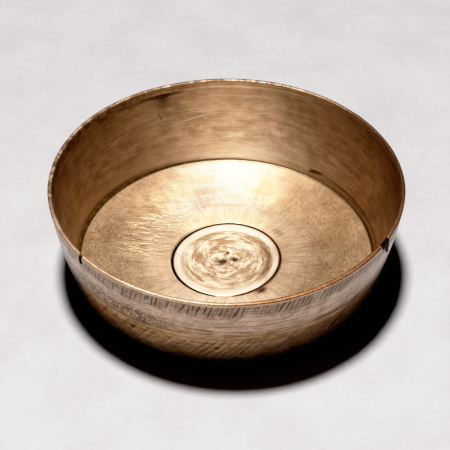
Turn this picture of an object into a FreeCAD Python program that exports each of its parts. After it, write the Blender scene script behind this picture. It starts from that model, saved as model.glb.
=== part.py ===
import FreeCAD, Part
import math
import os

# Hand-made bronze singing bowl: one turned casting with a dished floor, a straight
# flaring wall and a plain rim, and the deposits that fill its worn recesses.
# Frame: +Z is the bowl's axis, z = 0 is the plane it rests on, and the origin is the
# centre of the small flat it rests on. -Y is the front. All sizes are in millimetres.

# ---- Driving dimensions ----

# Bowl
rim_radius = 80.0
bowl_height = 50.5
rim_thickness = 2.2
wall_bulge = 0.8

# Floor and foot
crease_radius = 68.8
crease_height = 8.5
floor_centre_height = 2.3
floor_thickness = 2.8
foot_start_radius = 66.0
foot_round = 8.0
wall_foot_lean = 16.3

# Rim
rim_round = 0.5
rim_bevel = 0.3
lip_band_height = 3.0
lip_band_relief = 0.25

# Engraved circle in the floor
circle_radius = 25.4
circle_width = 1.3
circle_depth = 0.6
circle_fill_gap_start = -101.0
circle_fill_gap_end = -84.0

# Deposit in the crease between floor and wall
crease_fill_narrow = 0.5
crease_fill_wide = 2.0
crease_fill_wide_angle = 165.0
crease_fill_clearance = 0.02
crease_fill_sections = 36

# Fold ridge and pit on the wall above the crease, at the right of the back
ridge_height = 10.5
ridge_bead_radius = 1.0
ridge_sink = 0.3
ridge_shift = 1.0
ridge_peak_angle = 50.0
ridge_start_angle = -18.0
ridge_end_angle = 62.0
pit_height = 12.5
pit_radius = 0.75
pit_length = 7.0
pit_angle = 52.0

# Two worn marks at the middle of the floor: (x, y, radius)
centre_marks = [(-1.6, -0.9, 1.3), (4.1, 0.5, 1.0)]
centre_mark_depth = 0.5

# Left nick: a narrow slot through the rim
left_nick_angle = -141.2
left_nick_width = 2.4
left_nick_depth = 4.2
left_nick_fill_drop = 1.4

# Right nick: a chip through the rim with a shallow pocket below it on the outside
right_nick_angle = -31.2
right_nick_width = 6.2
right_nick_depth = 3.0
right_nick_fill_drop = 0.8
right_pocket_reach = 11.0
right_pocket_lean = 3.0
right_pocket_depth = 0.9

# How far every deposit stands back from the metal around it
fill_recess = 0.12

# Extra length of a cutting shape past the surface that it cuts
overrun = 3.0

# ---- Sizes that follow ----

floor_rise = crease_height - floor_centre_height
dish_radius = (crease_radius**2 + floor_rise**2) / (2 * floor_rise)
dish_centre_height = floor_centre_height + dish_radius
underside_radius = dish_radius + floor_thickness


def arc_height(radius, distance):
    """Height of a floor arc of the given radius, at a distance from the axis."""
    return dish_centre_height - math.sqrt(radius**2 - distance**2)


def inner_wall_radius(height):
    """Radius of the inner wall face at a height, counting its slight bulge."""
    climb = (height - crease_height) / (bowl_height - crease_height)
    straight = crease_radius + climb * (rim_radius - rim_thickness - crease_radius)
    return straight + 4 * wall_bulge * climb * (1 - climb)


# ---- Helpers ----


def point(radius, height):
    return FreeCAD.Vector(radius, 0, height)


def line(start, end):
    return Part.makeLine(start, end)


def arc(start, middle, end):
    return Part.Arc(start, middle, end).toShape()


def bulged_arc(start, end, bulge):
    """Arc between two profile points whose middle stands out from the chord."""
    chord = end - start
    outward = FreeCAD.Vector(abs(chord.z), 0, -abs(chord.x)).normalize()
    return arc(start, (start + end) * 0.5 + outward * bulge, end)


def tangent_arc(start, direction, end):
    """Arc that leaves its start along a direction and reaches its end."""
    chord = end - start
    side = FreeCAD.Vector(direction.z, 0, -direction.x)
    radius = chord.dot(chord) / (2 * chord.dot(side))
    centre = start + side * radius
    towards_middle = ((start + end) * 0.5 - centre).normalize()
    return arc(start, centre + towards_middle * abs(radius), end)


def dish_arc(radius, from_distance, to_distance):
    """Arc of the floor or the underside, whose centre lies exactly on the bowl's axis."""
    circle = Part.Circle(point(0, dish_centre_height), FreeCAD.Vector(0, -1, 0), radius)
    ends = [point(distance, arc_height(radius, distance)) for distance in (from_distance, to_distance)]
    first, last = sorted(circle.parameter(end) for end in ends)
    return Part.ArcOfCircle(circle, first, last).toShape()


def revolve(edges, angle=360.0):
    """Solid of revolution about the bowl's axis from a closed profile."""
    face = Part.Face(Part.Wire(edges))
    return face.revolve(FreeCAD.Vector(0, 0, 0), FreeCAD.Vector(0, 0, 1), angle)


def polygon_edges(points):
    closed = points + points[:1]
    return [line(start, end) for start, end in zip(closed, closed[1:])]


def turned(shape, angle):
    """The shape turned about the bowl's axis."""
    copy = shape.copy()
    copy.rotate(FreeCAD.Vector(0, 0, 0), FreeCAD.Vector(0, 0, 1), angle)
    return copy


def rim_prism(outline, from_radius, to_radius, angle):
    """Prism run radially outward; the outline's points are (sideways, height)."""
    corners = [FreeCAD.Vector(from_radius, side, height) for side, height in outline]
    face = Part.Face(Part.makePolygon(corners + corners[:1]))
    prism = face.extrude(FreeCAD.Vector(to_radius - from_radius, 0, 0))
    return turned(prism, angle)


def wall_bead(ring_radius, height, bead_radius, start_angle, end_angle):
    """Round-ended bead that follows the wall between two angles."""
    section = Part.makeCircle(bead_radius, point(ring_radius, height), FreeCAD.Vector(0, 1, 0))
    bead = revolve([section], end_angle - start_angle)
    bead = turned(bead, start_angle)
    for angle in (start_angle, end_angle):
        cap = Part.makeSphere(bead_radius, point(ring_radius, height))
        bead = bead.fuse(turned(cap, angle))
    return bead


def below_rim(drop):
    """Everything lower than the rim by a drop."""
    size = 2 * rim_radius + 2 * overrun
    corner = FreeCAD.Vector(-size / 2, -size / 2, -overrun)
    return Part.makeBox(size, size, bowl_height - drop + overrun, corner)


# ---- Bowl blank ----


def outside_solid(recess):
    """The bowl's outer shape with no hollow, with its surface moved in by a recess."""
    radius = underside_radius - recess
    foot_radius = foot_round - recess
    flat_edge_radius = math.sqrt(radius**2 - (dish_centre_height - recess) ** 2)
    down = -math.sqrt(1 - (foot_start_radius / underside_radius) ** 2)
    under_normal = FreeCAD.Vector(foot_start_radius / underside_radius, 0, down)
    lean = math.radians(wall_foot_lean)
    wall_normal = FreeCAD.Vector(math.cos(lean), 0, -math.sin(lean))
    foot_centre = point(0, dish_centre_height) + under_normal * (underside_radius - foot_round)
    foot_start = foot_centre + under_normal * foot_radius
    foot_middle = foot_centre + (under_normal + wall_normal).normalize() * foot_radius
    foot_end = foot_centre + wall_normal * foot_radius
    up_the_wall = FreeCAD.Vector(math.sin(lean), 0, math.cos(lean))
    rim_side = point(rim_radius - recess, bowl_height - recess - rim_round)
    rim_top = point(rim_radius - recess - rim_round, bowl_height - recess)
    axis_top = point(0, bowl_height - recess)
    axis_bottom = point(0, recess)
    edges = [
        line(axis_bottom, point(flat_edge_radius, recess)),
        dish_arc(radius, flat_edge_radius, foot_start.x),
        arc(foot_start, foot_middle, foot_end),
        tangent_arc(foot_end, up_the_wall, rim_side),
        tangent_arc(rim_side, FreeCAD.Vector(0, 0, 1), rim_top),
        line(rim_top, axis_top),
        line(axis_top, axis_bottom),
    ]
    return revolve(edges)


def hollow_solid(recess):
    """The hollow of the bowl, with its surface moved into the metal by a recess."""
    inner_rim_radius = rim_radius - rim_thickness + lip_band_relief + recess
    lip_bottom = bowl_height - lip_band_height
    step_radius = inner_wall_radius(lip_bottom) + recess
    mouth_height = bowl_height + overrun
    floor_radius = dish_radius + recess
    floor_centre = point(0, arc_height(floor_radius, 0))
    crease = point(crease_radius + recess, arc_height(floor_radius, crease_radius + recess))
    wall_top = point(step_radius, lip_bottom)
    lip_foot = point(step_radius + lip_band_relief, lip_bottom)
    bevel_bottom = point(inner_rim_radius, bowl_height - rim_bevel)
    bevel_top = point(inner_rim_radius + rim_bevel + overrun, mouth_height)
    edges = [
        dish_arc(floor_radius, 0, crease_radius + recess),
        bulged_arc(crease, wall_top, wall_bulge),
        line(wall_top, lip_foot),
        line(lip_foot, bevel_bottom),
        line(bevel_bottom, bevel_top),
        line(bevel_top, point(0, mouth_height)),
        line(point(0, mouth_height), floor_centre),
    ]
    return revolve(edges)


def bowl_blank(recess):
    return outside_solid(recess).cut(hollow_solid(recess))


# ---- Recesses in the blank ----


def circle_groove():
    """Ring with a V section that cuts the engraved circle into the floor."""
    top = arc_height(dish_radius, circle_radius)
    half = circle_width / 2
    slope = half / circle_depth
    above = overrun
    outline = [
        point(circle_radius, top - circle_depth),
        point(circle_radius + half + above * slope, top + above),
        point(circle_radius - half - above * slope, top + above),
    ]
    return revolve(polygon_edges(outline))


def centre_mark_cutters():
    """Spheres that sink shallow round dents for the marks at the middle of the floor."""
    cutters = []
    for x, y, radius in centre_marks:
        ball_radius = (radius**2 + centre_mark_depth**2) / (2 * centre_mark_depth)
        surface = arc_height(dish_radius, math.hypot(x, y))
        centre = FreeCAD.Vector(x, y, surface - centre_mark_depth + ball_radius)
        cutters.append(Part.makeSphere(ball_radius, centre))
    return cutters


def pit_cutter():
    """Level round bar laid along the inner wall face at the pit."""
    along = FreeCAD.Vector(0, 1, 0)
    start = point(inner_wall_radius(pit_height), pit_height) - along * (pit_length / 2)
    return turned(Part.makeCylinder(pit_radius, pit_length, start, along), pit_angle)


def left_nick_cutter():
    half = left_nick_width / 2
    bottom = bowl_height - left_nick_depth
    top = bowl_height + overrun
    outline = [(-half, top), (half, top), (half / 4, bottom), (-half / 4, bottom)]
    return rim_prism(outline, rim_radius - 2 * overrun, rim_radius + overrun, left_nick_angle)


def right_nick_cutter():
    """Chip through the rim, and a blind pocket that leans away below it outside."""
    half = right_nick_width / 2
    top = bowl_height + overrun
    chip_bottom = bowl_height - right_nick_depth
    chip = [(-half, top), (half, top), (half, chip_bottom), (-half / 2, chip_bottom)]
    chip_prism = rim_prism(chip, rim_radius - 2 * overrun, rim_radius + overrun, right_nick_angle)
    pocket_tip = (half + right_pocket_lean, bowl_height - right_pocket_reach)
    pocket = [(-half, top), (half, top), pocket_tip]
    pocket_prism = rim_prism(pocket, rim_radius / 2, rim_radius + overrun, right_nick_angle)
    pocket_prism = pocket_prism.cut(outside_solid(right_pocket_depth))
    return chip_prism.fuse(pocket_prism.common(below_rim(right_nick_fill_drop)))


# ---- Nodes ----


def fold_ridge():
    """Low bead on the wall above the crease, highest at its peak angle."""
    ring_radius = inner_wall_radius(ridge_height) + ridge_sink
    bead = wall_bead(ring_radius, ridge_height, ridge_bead_radius, ridge_start_angle, ridge_end_angle)
    peak = math.radians(ridge_peak_angle)
    bead.translate(FreeCAD.Vector(-math.cos(peak), -math.sin(peak), 0) * ridge_shift)
    return bead


def bowl_body():
    body = bowl_blank(0).fuse(fold_ridge())
    cutters = [circle_groove(), pit_cutter(), left_nick_cutter(), right_nick_cutter()]
    for cutter in cutters + centre_mark_cutters():
        body = body.cut(cutter)
    return body.removeSplitter()


def centre_circle_fill(recessed):
    """Deposit in the engraved circle, left out over a short stretch at the front."""
    ring = circle_groove().common(recessed)
    gap = circle_fill_gap_end - circle_fill_gap_start
    reach = circle_radius + circle_width
    wedge = Part.makeCylinder(reach, bowl_height, point(0, 0), FreeCAD.Vector(0, 0, 1), gap)
    return ring.cut(turned(wedge, circle_fill_gap_start))


def crease_fill_width(angle):
    """Width of the crease deposit at an angle, swelling smoothly towards its wide side."""
    closeness = (1 + math.cos(math.radians(angle - crease_fill_wide_angle))) / 2
    return crease_fill_narrow + (crease_fill_wide - crease_fill_narrow) * closeness**3


def foot_crease_fill():
    """Three-sided wedge of deposit that runs all round the crease."""
    root = point(crease_radius - crease_fill_clearance, crease_height + crease_fill_clearance)
    sections = []
    for step in range(crease_fill_sections):
        angle = 360.0 * step / crease_fill_sections
        width = crease_fill_width(angle)
        wall_height = root.z + width
        wall_edge = point(inner_wall_radius(wall_height) - crease_fill_clearance, wall_height)
        floor_distance = root.x - width
        floor_height = arc_height(dish_radius, floor_distance) + crease_fill_clearance
        corners = [root, wall_edge, point(floor_distance, floor_height)]
        sections.append(turned(Part.makePolygon(corners + corners[:1]), angle))
    return Part.makeLoft(sections, True, False, True)


def fold_pit_fill(recessed):
    return pit_cutter().common(recessed).cut(fold_ridge())


def centre_mark_fill(recessed):
    return Part.makeCompound([cutter.common(recessed) for cutter in centre_mark_cutters()])


def left_nick_fill(recessed):
    return left_nick_cutter().common(recessed).common(below_rim(left_nick_fill_drop))


def right_nick_fill(recessed):
    return right_nick_cutter().common(recessed).common(below_rim(right_nick_fill_drop))


def main():
    os.makedirs("parts", exist_ok=True)
    body = bowl_body()
    recessed = bowl_blank(fill_recess)
    nodes = {
        "bowl_body": body,
        "centre_circle_fill": centre_circle_fill(recessed),
        "foot_crease_fill": foot_crease_fill(),
        "fold_pit_fill": fold_pit_fill(recessed),
        "centre_mark_fill": centre_mark_fill(recessed),
        "left_nick_fill": left_nick_fill(recessed),
        "right_nick_fill": right_nick_fill(recessed),
    }
    for name, shape in nodes.items():
        print(name, "solids", len(shape.Solids), "volume", round(shape.Volume, 2), "valid", shape.isValid())
        shape.exportStep(os.path.join("parts", name + ".step"))


main()
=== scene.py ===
import math

import bpy
import numpy as np
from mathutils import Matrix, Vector


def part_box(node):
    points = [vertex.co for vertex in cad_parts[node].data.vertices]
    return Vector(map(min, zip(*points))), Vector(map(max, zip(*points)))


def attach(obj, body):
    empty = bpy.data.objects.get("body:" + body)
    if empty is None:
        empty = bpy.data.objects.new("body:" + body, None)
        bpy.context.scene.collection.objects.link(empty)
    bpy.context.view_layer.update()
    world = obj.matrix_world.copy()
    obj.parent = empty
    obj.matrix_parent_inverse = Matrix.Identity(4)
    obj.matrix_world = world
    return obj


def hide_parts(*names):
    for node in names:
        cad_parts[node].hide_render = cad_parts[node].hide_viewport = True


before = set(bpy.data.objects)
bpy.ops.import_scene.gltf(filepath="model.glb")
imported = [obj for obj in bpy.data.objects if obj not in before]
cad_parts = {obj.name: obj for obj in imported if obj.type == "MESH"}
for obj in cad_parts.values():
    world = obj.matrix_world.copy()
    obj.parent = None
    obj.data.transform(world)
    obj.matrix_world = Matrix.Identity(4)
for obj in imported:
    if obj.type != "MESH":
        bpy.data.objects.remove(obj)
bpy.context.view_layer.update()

# The looks of a hand-made bronze singing bowl. The bowl is one turned casting, so its
# visible mesh is a stack of rings whose shape comes from formulas: first the profile,
# then the marks that hammer, lathe and file left on it. Lengths are in millimetres
# unless a comment says otherwise; meshes are written in metres. Angles round the bowl
# are in degrees from +X, so -90 is the front. "Depth" is measured down from the rim.

MM = 0.001


# ---- Sizes that come from the frame ----

body_low, body_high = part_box("bowl_body")
circle_low, circle_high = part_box("centre_circle_fill")

RIM_RADIUS = (body_high.x - body_low.x) / 2 / MM
BOWL_HEIGHT = body_high.z / MM

# ---- Sizes of the bowl's shape, as the CAD body has them ----

RIM_THICKNESS = 2.2
WALL_BULGE = 0.8
OUTER_BULGE = 0.72
CREASE_RADIUS = 68.8
CREASE_HEIGHT = 8.5
FLOOR_CENTRE_HEIGHT = 2.3
FLOOR_THICKNESS = 2.8
FOOT_START_RADIUS = 66.0
FOOT_ROUND = 8.0
WALL_FOOT_LEAN = math.radians(16.3)
LIP_BAND_HEIGHT = 3.0
LIP_BAND_RELIEF = 0.25
CIRCLE_LINE_WIDTH = 1.3
CIRCLE_DEPTH = 0.6
CIRCLE_RADIUS = (circle_high.x - circle_low.x) / 2 / MM - CIRCLE_LINE_WIDTH / 2
CIRCLE_SKEW = 0.025

FLOOR_RISE = CREASE_HEIGHT - FLOOR_CENTRE_HEIGHT
DISH_RADIUS = (CREASE_RADIUS**2 + FLOOR_RISE**2) / (2 * FLOOR_RISE)
DISH_CENTRE_HEIGHT = FLOOR_CENTRE_HEIGHT + DISH_RADIUS
UNDERSIDE_RADIUS = DISH_RADIUS + FLOOR_THICKNESS

# ---- Marks on the bowl ----

LEFT_NICK_ANGLE = -141.2
LEFT_NICK_HALF_WIDTH = 1.3
LEFT_NICK_DEPTH = 4.4
RIGHT_NICK_ANGLE = -31.2
RIGHT_NICK_HALF_WIDTH = 3.1
RIGHT_NICK_DEPTH = 3.2
NICK_REACH = 14.0
POCKET_DEPTH = 0.9
POCKET_REACH = 11.5
POCKET_LEAN = 3.4

RIDGE_HEIGHT = 10.5
RIDGE_DROP = 1.0
RIDGE_SIZE = 0.55
RIDGE_START = 58.0
RIDGE_END = -14.0
PIT_ANGLE = 52.0
PIT_HEIGHT = 11.4
PIT_TILT = math.radians(11)
PIT_SLOPE = 0.19
# x, y and radius of each worn mark at the middle of the floor; dirt lies in the first two
CENTRE_MARKS = ((-1.6, -0.9, 2.1), (4.1, 0.5, 1.6), (0.8, 5.2, 0.9))
DIRTY_CENTRE_MARKS = 2
# depth, half width, tilt, angle of the deepest place and share of each turned groove outside
TURNED_LINES = (
    (22.3, 0.28, 1.0, -150, 1.0),
    (24.3, 0.32, 1.0, -150, 1.0),
    (17.2, 0.25, 0.6, 40, 0.6),
    (27.0, 0.30, 1.2, -120, 0.7),
)
# angle, its half width in degrees, depth and half height of each small hole outside
HOLES = ((-93.1, 0.9, 31.3, 0.9), (-122.8, 0.8, 29.2, 0.8))
# depth, slope across the front and half width of each dark lathe line outside
LATHE_LINES = (
    (18.6, 0.055, 0.45),
    (22.0, 0.0, 0.55),
    (20.6, -0.01, 0.35),
    (24.4, 0.03, 0.35),
    (14.8, 0.02, 0.35),
    (27.4, -0.02, 0.4),
)
# first and last angle, depth below the rim at each, and half width of each scratch inside
LIGHT_SCRATCHES = (
    (132.0, 143.5, 20.0, 22.2, 0.30),
    (124.0, 134.0, 26.4, 29.6, 0.35),
    (126.0, 139.0, 19.0, 21.5, 0.22),
    (96.0, 112.0, 19.5, 23.5, 0.35),
    (146.0, 158.0, 26.0, 31.0, 0.30),
    (150.0, 160.0, 20.0, 24.0, 0.25),
    (82.0, 92.0, 30.0, 33.0, 0.40),
    (103.0, 112.0, 33.0, 35.5, 0.30),
    (70.0, 80.0, 17.0, 19.5, 0.25),
)
DARK_SCRATCH_ANGLE = 116.2
DARK_SCRATCH_TOP = 15.4
DARK_SCRATCH_SLANT = 0.32

# ---- Mesh fineness ----

COLUMNS = 704
NICK_CROWDING = 2.2
NICK_CROWD_DEGREES = 4.0


# ==== Noise ====


def smooth(x, low, high):
    """0 below low, 1 above high, with a smooth step between."""
    t = np.clip((x - low) / (high - low), 0.0, 1.0)
    return t * t * (3 - 2 * t)


def fade(x, low, high):
    """1 below low, 0 above high."""
    return 1 - smooth(x, low, high)


def hill(x, width):
    """1 at zero, falling smoothly to nothing a few widths away."""
    return np.exp(-((x / width) ** 2))


def turn_gap(angle, centre):
    """Signed angle from a centre, in degrees, between -180 and 180."""
    return (angle - centre + 180.0) % 360.0 - 180.0


def arc_gap(angle, centre, radius):
    """The same as a length round a circle."""
    return turn_gap(angle, centre) * math.pi / 180 * radius


def ring_noise(angle, along, cells_round, cell_length, seed):
    """Smooth noise between -1 and 1 that closes on itself round the bowl."""
    rows = 64
    lattice = np.random.default_rng(seed).uniform(-1, 1, (cells_round, rows))
    u = (angle % 360.0) / 360.0 * cells_round
    v = along / cell_length
    u0 = np.floor(u).astype(int)
    v0 = np.floor(v).astype(int)
    fu = smooth(u - u0, 0.0, 1.0)
    fv = smooth(v - v0, 0.0, 1.0)
    a = lattice[u0 % cells_round, v0 % rows]
    b = lattice[(u0 + 1) % cells_round, v0 % rows]
    c = lattice[u0 % cells_round, (v0 + 1) % rows]
    d = lattice[(u0 + 1) % cells_round, (v0 + 1) % rows]
    return (a * (1 - fu) + b * fu) * (1 - fv) + (c * (1 - fu) + d * fu) * fv


def cell_values(cell, count, low, high, seed):
    """One fixed random value for each numbered cell round the bowl."""
    return np.random.default_rng(seed).uniform(low, high, count)[cell % count]


# ==== Profile ====


def dish_height(radius, distance):
    """Height of the floor's or the underside's dish at a distance from the axis."""
    return DISH_CENTRE_HEIGHT - np.sqrt(radius**2 - distance**2)


def foot_arc_points(steps):
    """Radii and heights along the rounded foot corner, from the underside to the wall."""
    share = FOOT_START_RADIUS / UNDERSIDE_RADIUS
    centre_reach = UNDERSIDE_RADIUS - FOOT_ROUND
    centre_r = centre_reach * share
    centre_z = DISH_CENTRE_HEIGHT - centre_reach * math.sqrt(1 - share**2)
    angles = np.linspace(-math.acos(share), -WALL_FOOT_LEAN, steps)
    return centre_r + FOOT_ROUND * np.cos(angles), centre_z + FOOT_ROUND * np.sin(angles)


FOOT_STEPS = 11
foot_r, foot_z = foot_arc_points(FOOT_STEPS)
WALL_START_RADIUS = foot_r[-1]
WALL_START_HEIGHT = foot_z[-1]


def bulged(height, low, start, end, bulge):
    """Radius of a wall that runs from start at height low to end at the rim."""
    climb = (height - low) / (BOWL_HEIGHT - low)
    return start + climb * (end - start) + 4 * bulge * climb * (1 - climb)


def outer_radius(height):
    return bulged(height, WALL_START_HEIGHT, WALL_START_RADIUS, RIM_RADIUS, OUTER_BULGE)


def inner_radius(height):
    wall = bulged(height, CREASE_HEIGHT, CREASE_RADIUS, RIM_RADIUS - RIM_THICKNESS, WALL_BULGE)
    lip_edge = BOWL_HEIGHT - LIP_BAND_HEIGHT
    return wall + LIP_BAND_RELIEF * smooth(height, lip_edge - 0.35, lip_edge + 0.1)


def inside_path(height):
    """The way along the profile at a height inside; it carries on from the rim's -2.2."""
    return height - BOWL_HEIGHT - RIM_THICKNESS


# ==== Marks ====


def out_of_round(angle):
    """How much the hand-made rim strays from a true circle, as a share of its radius."""
    a = np.radians(angle)
    return 0.0022 * np.cos(2 * a + 0.7) + 0.0028 * np.cos(3 * a - 1.9) + 0.0015 * np.cos(5 * a + 0.4)


FLOOR_STRAY = 0.35


def stretch(angle, height):
    """Out-of-round factor, full at the rim and fading to a third at the floor."""
    share = FLOOR_STRAY + (1 - FLOOR_STRAY) * smooth(height, CREASE_HEIGHT, BOWL_HEIGHT)
    return 1 + out_of_round(angle) * share


def nick_drop(angle):
    """How far the two nicks lower the rim."""
    left = np.abs(arc_gap(angle, LEFT_NICK_ANGLE, RIM_RADIUS)) / LEFT_NICK_HALF_WIDTH
    right = np.abs(arc_gap(angle, RIGHT_NICK_ANGLE, RIM_RADIUS)) / RIGHT_NICK_HALF_WIDTH
    return LEFT_NICK_DEPTH * fade(left, 0.70, 1.1) + RIGHT_NICK_DEPTH * fade(right, 0.82, 1.1)


def nicked_height(height, angle):
    """Lowers the part of the wall near the rim where a nick is, and nothing else."""
    low = BOWL_HEIGHT - NICK_REACH
    share = (BOWL_HEIGHT - nick_drop(angle) - low) / (BOWL_HEIGHT - low)
    return np.where(height > low, low + (height - low) * share, height)


def tool_dashes(angle, depth, pitch, width, top, bottom, slant, seed):
    """Row of short slanted chatter marks; 1 in the middle of a mark and 0 outside."""
    length = 2 * math.pi * RIM_RADIUS
    around = length * (angle % 360.0) / 360.0
    count = int(length / pitch)
    place = ((around + slant * (depth - top)) % length) / length * count
    cell = np.floor(place).astype(int)
    local = (place - cell - 0.5 - cell_values(cell, count, -0.25, 0.25, seed)) * pitch
    wide = width * cell_values(cell, count, 0.6, 1.25, seed + 1)
    start = top + cell_values(cell, count, -0.8, 1.6, seed + 2)
    end = bottom + cell_values(cell, count, -3.0, 1.5, seed + 3)
    strength = np.clip(cell_values(cell, count, -0.05, 1.25, seed + 4), 0, 1)
    window = smooth(depth, start - 0.8, start + 0.8) * fade(depth, end - 1.2, end + 1.2)
    return hill(local, wide / 2) * window * strength


def turned_line(angle, depth, at, width, tilt, deepest):
    """Thin groove left by a lathe tool, nearly level round the wall."""
    level = at + tilt * np.cos(np.radians(angle - deepest))
    broken = 0.55 + 0.45 * ring_noise(angle, depth * 0, 26, 5.0, int(at * 10))
    return hill(depth - level, width) * broken


def pocket_edges(share):
    """Left and right edge of the pocket under the right nick, from its top to its end."""
    left = -RIGHT_NICK_HALF_WIDTH + share * (2 * RIGHT_NICK_HALF_WIDTH + POCKET_LEAN)
    return left, RIGHT_NICK_HALF_WIDTH + share * POCKET_LEAN


def pocket_mask(angle, depth):
    """The shallow chipped pocket that leans away below the right nick, outside only."""
    soft = 0.4
    side = arc_gap(angle, RIGHT_NICK_ANGLE, RIM_RADIUS)
    left, right = pocket_edges(np.clip(depth / POCKET_REACH, 0, 1))
    inside = smooth(side, left - soft, left + soft) * fade(side, right - soft, right + soft)
    return inside * fade(depth, POCKET_REACH - 1, POCKET_REACH + 0.3)


def outer_relief(angle, depth):
    """Height of the outer wall's marks, and how dark they are: dirt, and at the foot partly painted shade.
    """
    depth = depth + angle * 0
    upper = tool_dashes(angle, depth, 2.4, 1.0, 1.8, 8.0, 0.28, 11)
    lower = tool_dashes(angle, depth, 3.6, 1.5, 25.0, 40.0, 0.75, 23)
    lines = sum(share * turned_line(angle, depth, *line) for *line, share in TURNED_LINES)
    holes = sum(
        hill(turn_gap(angle, at), wide) * hill(depth - level, high)
        for at, wide, level, high in HOLES
    )
    waves = 0.16 * ring_noise(angle, depth, 34, 13.0, 5) + 0.05 * ring_noise(angle, depth, 110, 4.0, 6)
    pit_side = smooth(turn_gap(angle, -150), 0, 8) * fade(turn_gap(angle, -112), -6, 8)
    pit_grain = smooth(ring_noise(angle, depth, 330, 1.5, 31), 0.35, 0.75)
    pits = pit_grain * pit_side * hill(depth - 18.0, 4.5)
    foot = smooth(depth, 39.0, 45.0)
    # The upper dashes are worn almost away at the left
    worn = hill(turn_gap(angle, -145), 35)
    cuts = (0.11 - 0.06 * worn) * upper + 0.10 * (lower + lines + pits) + 0.18 * holes
    relief = waves - cuts - POCKET_DEPTH * pocket_mask(angle, depth)
    dirt = (0.38 - 0.20 * worn) * upper + 0.50 * (lower + np.clip(lines, 0, 1))
    # The foot term is partly grime and partly painted shade of the shadow the foot mirrors
    dirt = dirt + 0.35 * pits + 0.9 * holes + 0.75 * foot
    return relief, np.clip(dirt, 0, 1)


def ridge_height_at(angle):
    return RIDGE_HEIGHT - RIDGE_DROP * smooth(RIDGE_START - angle, 20.0, 75.0)


def wall_dirt(angle, height):
    """Dirt at the foot of the inner wall, under its lip and in its stains."""
    depth = BOWL_HEIGHT - height
    climb = height - CREASE_HEIGHT
    ragged = 0.5 + 0.5 * ring_noise(angle, depth, 80, 3.0, 17)
    foot = (0.05 + 0.95 * hill(turn_gap(angle, 150), 50)) * fade(climb, 1.2, 4.4)
    stain = hill(turn_gap(angle, 113.6), 2.8) * smooth(depth, 2.6, 4.0) * fade(depth, 10.0, 13.5)
    stain = stain * (0.5 + 0.5 * ragged)
    lip_line = ragged * hill(turn_gap(angle, 105.0), 62) * hill(depth - 3.9, 0.7)
    lip_shade = ragged * hill(turn_gap(angle, 130.0), 22)
    lip_shade = lip_shade * smooth(depth, 2.4, 3.6) * fade(depth, 4.5, 10.5)
    patch = smooth(ring_noise(angle, depth, 44, 3.6, 18), 0.30, 0.8)
    patch = patch * hill(turn_gap(angle, 70), 28) * hill(climb - 11, 8)
    return 0.56 * foot + 0.7 * stain + 0.55 * lip_line + 0.375 * lip_shade + 0.3 * patch


def inner_relief(angle, height):
    """Height of the inner wall's marks towards the axis, how dirty and how polished."""
    depth = BOWL_HEIGHT - height
    waves = 0.14 * ring_noise(angle, depth, 30, 12.0, 7) + 0.05 * ring_noise(angle, depth, 90, 5.0, 8)
    gap = turn_gap(angle, 0.0)
    over_ridge = height - ridge_height_at(gap)
    present = smooth(gap, RIDGE_END, RIDGE_END + 40) * fade(gap, RIDGE_START - 6, RIDGE_START)
    ridge = present * hill(over_ridge, 0.7)
    under = present * hill(over_ridge - 1.35, 0.55)
    pit_side = arc_gap(angle, PIT_ANGLE, CREASE_RADIUS)
    pit = hill(pit_side, 3.6) * hill(height - PIT_HEIGHT + PIT_SLOPE * pit_side, 0.42)
    relief = waves + RIDGE_SIZE * ridge - 0.35 * under - 0.75 * pit
    dirt = wall_dirt(angle, height) + 0.45 * under + 1.2 * pit
    shine = 0.06 * hill(turn_gap(angle, 105.0), 62) * fade(depth, 2.4, 3.2)
    return relief, np.clip(dirt, 0, 1), np.clip(shine, 0, 1)


def disc_marks(angle, distance):
    """The polished band, its inner edge, the turned rings and the swirl inside the circle."""
    a = np.radians(angle)
    circle = CIRCLE_RADIUS * (1 + CIRCLE_SKEW * np.sin(2 * a))
    groove = np.clip(1 - np.abs(distance - circle) / (CIRCLE_LINE_WIDTH / 2), 0, 1)
    band_start = (0.81 + 0.04 * hill(turn_gap(angle, -2), 48)) * circle
    band = smooth(distance, band_start, band_start + 1.0)
    band = band * fade(distance, 0.94 * circle, 0.985 * circle)
    edge = hill(distance - 0.79 * circle, 0.8)
    rings = hill(distance - 3.9, 0.7) + 0.7 * hill(distance - 8.2, 0.9)
    rings = rings + 0.8 * hill(distance - 12.6, 1.0)
    swirl = ring_noise(angle + 2.5 * distance, distance, 14, 2.2, 12)
    swirl = swirl * fade(distance, 19, 21) * smooth(distance, 1, 5)
    return groove, band, edge, rings, swirl


def floor_stains(angle, distance):
    """Brown smudges just outside the circle, and the stain inside its right edge."""
    smudge = hill(arc_gap(angle, -53, distance), 3.6) * hill(distance - 26.9, 1.9)
    blotch = hill(turn_gap(angle, 37), 8) * hill(distance - 31.0, 2.8)
    right = hill(turn_gap(angle, 2), 46) * hill(distance - 20.6, 1.9)
    right = right * (0.6 + 0.6 * ring_noise(angle, distance, 60, 1.6, 19))
    return 0.95 * smudge + 0.50 * blotch + 0.26 * right


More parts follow.
